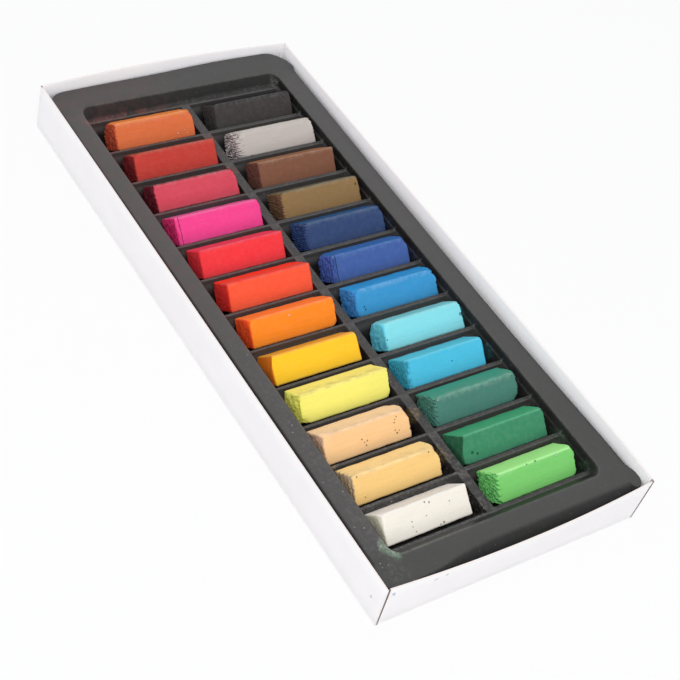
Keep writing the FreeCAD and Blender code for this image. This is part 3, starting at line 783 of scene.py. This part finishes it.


# Pastel sticks

# In a stick's own frame X runs along it, its near upper face looks along +Z and its far upper
# face along +Y, so the ridge is the edge between those two. Each entry has the colour that the
# near face, the far face and the left end show, which differ partly by painted light and shade,
# the stick's lean as a share of the most, how high it rides in its pocket, and its wear:
# span      how far the left and right ends lie from those of a plain stick
# rag       raggedness of the left and right ends
# bloom     pale dust along the ridge
# grime     grey dirt on the far face near the ridge
# soot      dark hairs on the left end
# mottled   pale mottling
# ribs      torn layers on the left end: which way they run, their spacing and depth
# knocks    rounded corners: end, across (y, z), reach and depth
# shaves    flat worn facets: direction and depth
# pits      small holes on the near face: along, across and radius
# flecks    pale chips stuck to the near face, in the same way
# cracks    dark cracks across the near face: place along the stick
RIDGE, NEAR, FAR = (1, 1), (-1, 1), (1, -1)
STICKS = {
    "stick_burnt_orange": dict(
        near=(220, 114, 66), far=(219, 124, 52), end=(182, 74, 47), lean=1.08, ride=0.42,
        span=(0.2, -0.4), rag=(0.9, 0.2), bloom=0.5,
        knocks=[(-1, FAR, 4.5, 1.4), (-1, RIDGE, 2.0, 0.5), (1, RIDGE, 4.5, 1.3)],
        flecks=[(8.7, -2.4, 0.4), (11.4, -1.7, 0.35), (12.5, -2.8, 0.35), (9.6, -2.9, 0.25)]),
    "stick_brick_red": dict(
        near=(194, 64, 54), far=(158, 65, 44), end=(119, 27, 30), lean=0.24, ride=0,
        span=(0.2, 0.75), rag=(0.4, 0.15), bloom=0.3,
        knocks=[(-1, RIDGE, 5.0, 1.3), (-1, FAR, 4.0, 1.0), (1, RIDGE, 2.0, 0.4)],
        pits=[(-15.8, 1.9, 0.5)]),
    "stick_crimson": dict(
        near=(207, 74, 90), far=(111, 38, 36), end=(94, 16, 32), lean=-0.32, ride=0,
        span=(0.3, 0.8), rag=(0.5, 0.2), bloom=0.7,
        knocks=[(-1, FAR, 3.0, 0.8), (1, RIDGE, 4.5, 1.3), (1, FAR, 3.0, 0.8)]),
    "stick_hot_pink": dict(
        near=(242, 70, 144), far=(218, 86, 142), end=(216, 43, 107), lean=0.16, ride=0,
        span=(-0.7, 0.5), rag=(0.3, 0.15), ribs=("layers", 1.3, 0.35),
        knocks=[(1, RIDGE, 3.0, 0.8)], cracks=[-15.2]),
    "stick_red": dict(
        near=(241, 59, 65), far=(219, 53, 78), end=(228, 46, 56), lean=0.54, ride=0.03,
        span=(-0.8, -0.6), rag=(0.2, 0.1), knocks=[(1, FAR, 3.0, 0.8)]),
    "stick_orange_red": dict(
        near=(249, 91, 58), far=(241, 49, 27), end=(228, 43, 38), lean=0.84, ride=0,
        span=(0.2, 0.2), rag=(0.25, 0.1), grime=0.45, knocks=[(1, FAR, 2.5, 0.6)]),
    "stick_orange": dict(
        near=(251, 139, 36), far=(248, 120, 44), end=(245, 79, 28), lean=0.48, ride=0.07,
        span=(-0.2, 0.4), rag=(0.3, 0.5),
        knocks=[(-1, RIDGE, 3.5, 1.1), (1, NEAR, 2.5, 0.8), (1, FAR, 3.0, 0.8)],
        flecks=[(-1.2, 2.9, 0.4)]),
    "stick_golden_yellow": dict(
        near=(249, 196, 42), far=(229, 156, 38), end=(223, 115, 21), lean=-0.54, ride=0,
        span=(-0.4, 0.6), rag=(0.15, 0.1), grime=0.15, knocks=[(1, RIDGE, 2.5, 0.6)],
        shaves=[((-1, 0.25, 0), 0.7)]),
    "stick_lemon": dict(
        near=(247, 239, 118), far=(249, 233, 118), end=(252, 249, 112), lean=0.98, ride=0.16,
        span=(-0.8, 0.5), rag=(0.5, 0.35), grime=0.5,
        knocks=[(-1, NEAR, 3.5, 1.2), (1, NEAR, 2.5, 0.7)]),
    "stick_peach": dict(
        near=(246, 201, 146), far=(247, 207, 163), end=(197, 158, 131), lean=0.82, ride=0.1,
        span=(0.1, 0.5), rag=(0.4, 0.5), grime=0.4,
        knocks=[(-1, RIDGE, 4.5, 1.4), (1, RIDGE, 5.0, 1.8), (1, FAR, 3.5, 1.0)],
        pits=[(-2.0, -0.2, 0.28), (-0.1, -1.1, 0.24), (-1.2, -1.3, 0.2), (-0.7, -2.4, 0.3),
              (11.7, 3.3, 0.18), (10.6, 1.6, 0.2), (11.2, -1.9, 0.34), (10.6, -0.8, 0.2),
              (12.1, -1.3, 0.18), (11.0, 2.5, 0.15)]),
    "stick_ochre": dict(
        near=(246, 204, 129), far=(250, 214, 145), end=(188, 163, 131), lean=0.88, ride=0.33,
        span=(-0.4, 0.3), rag=(0.5, 0.3), grime=0.35, ribs=("layers", 2.0, 0.25),
        knocks=[(1, RIDGE, 5.5, 1.9), (-1, RIDGE, 3.0, 0.8)],
        pits=[(-12.6, -2.6, 0.28), (12.4, 4.2, 0.3), (-14.5, 4.4, 0.25)]),
    "stick_white": dict(
        near=(240, 234, 221), far=(231, 226, 218), end=(202, 196, 176), lean=-1.0, ride=0,
        span=(0.2, 0.1), rag=(0.2, 0.1), grime=0.15, knocks=[(-1, RIDGE, 3.0, 0.8)],
        shaves=[((-1, 0.35, 1), 1.5)],
        pits=[(-5.5, -0.4, 0.32), (5.3, -4.0, 0.34), (1.9, 3.3, 0.3), (8.9, 1.5, 0.2),
              (0.3, 3.8, 0.26), (-5.0, -3.6, 0.2), (-5.7, -1.9, 0.18), (-0.2, -0.2, 0.18),
              (4.0, -4.2, 0.22)]),
    "stick_black": dict(
        near=(63, 59, 58), far=(5, 5, 5), end=(59, 55, 53), lean=0.74, ride=0.39,
        span=(-0.5, 0.3), rag=(0.3, 0.3), bloom=0.25,
        knocks=[(-1, RIDGE, 3.0, 0.9), (1, RIDGE, 2.5, 0.6)],
        pits=[(13.2, 3.1, 0.35), (12.2, 0.9, 0.3), (13.8, 1.8, 0.2)]),
    "stick_light_grey": dict(
        near=(193, 185, 179), far=(176, 168, 160), end=(197, 184, 182), lean=0.22, ride=0.5,
        span=(-1.1, 0), rag=(0.6, 0.6), bloom=0.5, soot=0.8, ribs=("teeth", 0.9, 0.9),
        knocks=[(-1, RIDGE, 5.0, 1.8), (-1, FAR, 4.0, 1.0), (1, RIDGE, 4.0, 1.2)],
        shaves=[((0, 1, 1), 0.5)], pits=[(-11.7, -4.4, 0.4)]),
    "stick_brown": dict(
        near=(127, 84, 64), far=(134, 89, 59), end=(102, 63, 52), lean=0.66, ride=0.23,
        span=(-0.3, -0.3), rag=(0.3, 0.15), bloom=0.4,
        knocks=[(1, FAR, 3.5, 1.0), (-1, FAR, 3.0, 0.8)]),
    "stick_olive": dict(
        near=(141, 112, 73), far=(105, 95, 70), end=(105, 77, 55), lean=0.04, ride=0,
        span=(-0.1, 1.0), rag=(0.4, 0.3), bloom=0.4, ribs=("teeth", 1.0, 0.45),
        knocks=[(-1, RIDGE, 4.0, 1.2), (1, RIDGE, 2.5, 0.6)], pits=[(15.6, 1.9, 0.4)]),
    "stick_navy": dict(
        near=(52, 72, 112), far=(5, 69, 117), end=(41, 65, 113), lean=0.42, ride=0.5,
        span=(-0.8, 0.5), rag=(0.5, 0.5), grime=0.35, ribs=("teeth", 0.95, 0.8),
        knocks=[(-1, NEAR, 2.5, 0.6), (1, RIDGE, 4.5, 1.4)]),
    "stick_ultramarine": dict(
        near=(68, 97, 160), far=(42, 94, 159), end=(70, 94, 171), lean=0.82, ride=0.28,
        span=(-0.1, -0.4), rag=(0.6, 0.15), bloom=0.3, ribs=("layers", 1.6, 0.3),
        knocks=[(-1, FAR, 4.0, 1.2), (1, RIDGE, 5.0, 1.5)], cracks=[-14.6]),
    "stick_cobalt": dict(
        near=(59, 149, 204), far=(37, 139, 199), end=(58, 129, 194), lean=0.9, ride=0.26,
        span=(-1.1, 1.0), rag=(0.5, 0.6), bloom=0.8,
        knocks=[(-1, RIDGE, 4.5, 1.4), (-1, NEAR, 3.0, 0.8), (1, RIDGE, 5.0, 1.8)],
        pits=[(-14.0, -1.3, 0.3), (-13.7, -2.3, 0.3)]),
    "stick_turquoise": dict(
        near=(135, 220, 229), far=(122, 197, 202), end=(100, 205, 227), lean=-0.24, ride=0,
        span=(0.4, 0.5), rag=(0.4, 0.5), bloom=0.6,
        knocks=[(-1, FAR, 4.5, 1.6), (-1, RIDGE, 3.5, 1.0), (1, RIDGE, 3.0, 0.8)],
        pits=[(-15.2, -0.9, 0.25), (15.8, 0.3, 0.5)]),
    "stick_sky_blue": dict(
        near=(76, 190, 223), far=(83, 186, 207), end=(49, 148, 173), lean=0, ride=0,
        span=(-0.2, -0.3), rag=(0.15, 0.1), ribs=("layers", 1.0, 0.9),
        knocks=[(1, RIDGE, 2.0, 0.5)], pits=[(2.2, 0.1, 0.25)]),
    "stick_dark_green": dict(
        near=(74, 128, 114), far=(59, 143, 120), end=(68, 120, 106), lean=1.1, ride=0.44,
        span=(-1.2, 1.1), rag=(0.6, 0.7), bloom=0.9, grime=0.3, ribs=("fan", 0.11, 1.0),
        knocks=[(-1, RIDGE, 4.0, 1.2), (1, RIDGE, 4.0, 1.2), (1, NEAR, 3.5, 1.2)],
        flecks=[(8.5, 1.3, 0.2), (-15.4, 4.2, 0.4)]),
    "stick_green": dict(
        near=(60, 135, 99), far=(57, 157, 110), end=(32, 88, 59), lean=0.1, ride=0,
        span=(-1.0, 1.2), rag=(0.3, 0.3), grime=0.15, mottled=0.2,
        knocks=[(1, RIDGE, 2.5, 0.7), (-1, NEAR, 3.0, 0.8)], shaves=[((-1, 0.3, 0.15), 0.9)],
        pits=[(-13.3, -1.4, 0.4), (-11.4, -2.2, 0.3)]),
    "stick_light_green": dict(
        near=(125, 207, 111), far=(161, 230, 136), end=(105, 190, 102), lean=0.26, ride=0.14,
        span=(0, 0), rag=(0.7, 0.5), bloom=0.9, ribs=("fan", 0.13, 1.1),
        knocks=[(-1, RIDGE, 2.5, 0.8), (1, RIDGE, 3.0, 0.8), (1, NEAR, 2.5, 0.8)],
        pits=[(-3.3, 4.5, 0.3), (0.2, 4.5, 0.35)], flecks=[(8.1, 4.5, 0.35), (8.7, 3.6, 0.3)]),
}


def chalk(name, centre, turn, look):
    finish = Finish("pressed_chalk_" + name, centre, (turn, 0, 0))
    # The near, far and end colours differ partly by painted light and shade.
    near, far, end = (linear(*look[face]) for face in ("near", "far", "end"))
    pale = paler(near, 0.35)
    shift = centre.y * 0.37 + centre.x * 0.11
    grain = finish.noise(5.0, 4.0, 0.7, shift=shift)
    mottle = finish.noise(0.55, 4.0, 0.6, shift=shift + 5)
    drag = finish.noise(1.0, 3.0, 0.6, finish.stretched((0.12, 2.2, 2.2), (shift, 1, 2)))
    half, half_length = STICK_SIDE / 2, STICK_LENGTH / 2
    near_face = finish.z.ramp(half - 0.8, half - 0.25)
    far_face = finish.y.ramp(half - 0.8, half - 0.25)
    cap = finish.attribute("cap")

    # Each face's colour, which differs partly by painted light and shade, with its grain,
    # and painted shade darkening the near face towards its foot.
    tone = finish.mix(cap, finish.mix(far_face, near, far), end)
    tone = finish.mix(mottle.ramp(0.35, 0.75) * (0.04 + 0.16 * look.get("mottled", 0)), tone, pale)
    tone = finish.dim(drag.ramp(0.50, 0.75) * 0.14, tone, 0.6)
    tone = finish.dim(grain.ramp(0.5, 0.25) * 0.20, tone, 0.6)
    foot = finish.y.ramp(0.5, -half - 0.3) * near_face
    tone = finish.dim(foot * 0.38, tone, 0.6)

    # Rubbed long edges, a dusty ridge, dirt from the neighbours, and painted shade in the
    # hollows between torn layers.
    edge = abs(finish.y).least(abs(finish.z))
    worn = (edge + 0.9 * (mottle - 0.5)).ramp(half - 1.0, half - 0.1) * (1 - cap)
    tone = finish.mix(worn * 0.10, tone, pale)
    ridge = (finish.y + finish.z + 0.5 * (mottle - 0.5)).ramp(2 * half - 1.9, 2 * half - 0.3)
    bloom = look.get("bloom", 0.15) * 0.25
    tone = finish.mix(ridge * bloom * mottle.ramp(0.3, 0.7), tone, pale)
    if look.get("grime"):
        stripe = (finish.z + 2.0 * (mottle - 0.5)).ramp(-2.5, 3.5) * far_face
        dirt = stripe * finish.noise(0.35, 3.0, 0.55, shift=shift + 9).ramp(0.25, 0.75)
        tone = finish.mix(dirt * look["grime"] * 0.7, tone, linear(128, 112, 98))
    if look.get("soot"):
        left = finish.x.ramp(3.0 - half_length, -0.2 - half_length)
        hairs = finish.noise(1.0, 4.0, 0.7, finish.stretched((0.28, 1.7, 0.25), (4, shift, 2)))
        tone = finish.mix(left * hairs.ramp(0.50, 0.60) * look["soot"], tone, linear(52, 50, 52))
    tone = finish.mix(finish.attribute("torn") * 0.75, tone, darker(end, 0.35))
    height = finish.bump(mottle * 0.5 + drag * 0.6, 0.13)

    # Pits and cracks, then chips stuck to the face, each with its own relief.
    holes = [finish.spot((along, across, half), radius * 1.3, mottle)
             for along, across, radius in look.get("pits", [])]
    for along in look.get("cracks", []):
        bend = 0.9 * (finish.noise(0.45, 3.0, shift=shift + 14) - 0.5)
        holes.append(abs(finish.x - along + bend).ramp(0.17, 0.05) * near_face)
    if holes:
        hole = strongest(holes)
        tone = finish.mix(hole * 0.75, tone, darker(near, 0.22))
        height = finish.bump(1 - hole, 0.25, height)
    chips = [finish.spot((along, across, half), radius, mottle)
             for along, across, radius in look.get("flecks", [])]
    if chips:
        chip = strongest(chips)
        tone = finish.mix(chip * 0.85, tone, paler(near, 0.55))
        height = finish.bump(chip, 0.20, height)
    height = finish.bump(grain, 0.035, height)
    return finish.shade(Base_Color=tone, Roughness=0.92, Specular_IOR_Level=0.15, Normal=height)


def bar():
    """One stick along X, rounded along its edges and cut into small squares, finer at the ends."""
    bm = bmesh.new()
    bmesh.ops.create_cube(bm, size=1)
    bmesh.ops.scale(bm, vec=(STICK_LENGTH, STICK_SIDE, STICK_SIDE), verts=bm.verts[:])
    bevel(bm, bm.edges[:], STICK_EDGE_ROUND, 3)
    fine_reach, fine_pitch, fine_steps = 3, 0.3, 10
    middle, middle_steps = STICK_LENGTH / 2 - fine_reach, 12
    for step in range(-middle_steps, middle_steps + 1):
        cut(bm, 0, middle * step / middle_steps)
    for step in range(1, fine_steps):
        for sign in (-1, 1):
            cut(bm, 0, sign * (middle + fine_pitch * step))
    side_steps = 38
    for step in range(1, side_steps):
        cut(bm, 1, STICK_SIDE * (step / side_steps - 0.5))
        cut(bm, 2, STICK_SIDE * (step / side_steps - 0.5))
    bmesh.ops.remove_doubles(bm, verts=bm.verts[:], dist=0.004)
    return bm


def rib_phase(kind, y, z, drift, spacing):
    """The place of a point across the torn layers of a stick's end, 1 for each layer."""
    if kind == "layers":
        return (z + drift) / spacing
    if kind == "teeth":
        return (y + drift + 0.25 * z) / spacing
    # A fan of layers around a point beyond the far lower edge.
    beyond = STICK_SIDE / 2 + 1
    return math.atan2(z + beyond, beyond - y) / spacing + drift


def wear(bm, number, look):
    """Rounds, chips, tears and roughens one stick, and brings its ends to where they lie."""
    half, end = STICK_SIDE / 2, STICK_LENGTH / 2
    seed = Vector((number * 37.0, 5.0, 9.0))
    corners = []
    for side, (across_y, across_z), reach, depth in look.get("knocks", []):
        corner = Vector((side * end, across_y * half, across_z * half))
        inward = -Vector((side, across_y, across_z)).normalized()
        corners.append((corner, inward, reach, depth))
    facets = []
    for toward, depth in look.get("shaves", []):
        normal = Vector(toward).normalized()
        outmost = abs(normal.x) * end + (abs(normal.y) + abs(normal.z)) * half
        facets.append((normal, outmost - depth))
    kind, spacing, tear = look.get("ribs", (None, 1, 0))
    torn = bm.verts.layers.float.new("torn")
    cap = bm.verts.layers.float.new("cap")
    left_shift, right_shift = look["span"]
    left_rag, right_rag = look["rag"]
    for vert in bm.verts:
        start = vert.co.copy()
        x, y, z = start
        vert[cap] = smooth_step(abs(x), end - 0.5, end - 0.05)
        along = x / STICK_LENGTH
        vert.co.x += left_shift * (0.5 - along) + right_shift * (0.5 + along)

        # Ragged and torn ends.
        rough = noise.noise(start * 1.1 + seed)
        left = smooth_step(-x, end - 2.2, end - 0.1)
        right = smooth_step(x, end - 1.6, end - 0.1)
        shape = noise.noise(start * 0.55 + seed) * 0.6 + noise.noise(start * 1.7 + seed) * 0.6
        loss = max(0.0, 0.35 + shape)
        vert.co.x += left_rag * left * loss - right_rag * right * loss
        if kind:
            drift = noise.noise(start * 0.5 + seed) * 0.5
            ridge = abs(math.sin(math.pi * rib_phase(kind, y, z, drift, spacing)))
            vert.co.x += tear * left * (1 - ridge) * (0.75 + rough)
            # Painted shade in the hollows between the torn layers.
            vert[torn] = left * max(0.0, 1 - 1.8 * ridge)

        # Knocked corners and worn facets, and then an uneven surface all over.
        for corner, inward, reach, depth in corners:
            away = (start - corner).length / reach
            if away < 1:
                vert.co += inward * depth * (1 - away) ** 2 * (1.25 + 0.5 * rough)
        for normal, limit in facets:
            excess = vert.co.dot(normal) - limit
            if excess > 0:
                vert.co -= normal * excess * (0.94 + 0.1 * rough)
        out = Vector((0, y, z)).normalized()
        vert.co += out * (noise.noise(start * 0.22 + seed) * 0.12 + rough * 0.035 - 0.08)


def sticks():
    pattern = bar()
    for number, (name, look) in enumerate(STICKS.items()):
        low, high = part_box(name)
        centre = (Vector(low) + Vector(high)) / 2 / MM
        turn = math.radians(45 + look["lean"] * LEAN_MOST)
        bm = pattern.copy()
        wear(bm, number, look)
        around_x = Matrix.Rotation(turn, 3, "X")
        bmesh.ops.rotate(bm, cent=(0, 0, 0), matrix=around_x, verts=bm.verts[:])
        bmesh.ops.translate(bm, vec=centre + Vector((0, 0, look["ride"])), verts=bm.verts[:])
        colour = name.replace("stick_", "")
        material = chalk(colour, centre, turn, look)
        finish_piece(bm, colour + "_stick", name, "pastel_" + colour, material, 65)
    pattern.free()


camera()
surroundings()
lamp("key", (-0.66, -0.72, 1.27), (0, 0, 0), 0.9, 10.3)
floor()
card_box()
formed_tray()
sticks()

bpy.context.scene.view_settings.view_transform = "Standard"
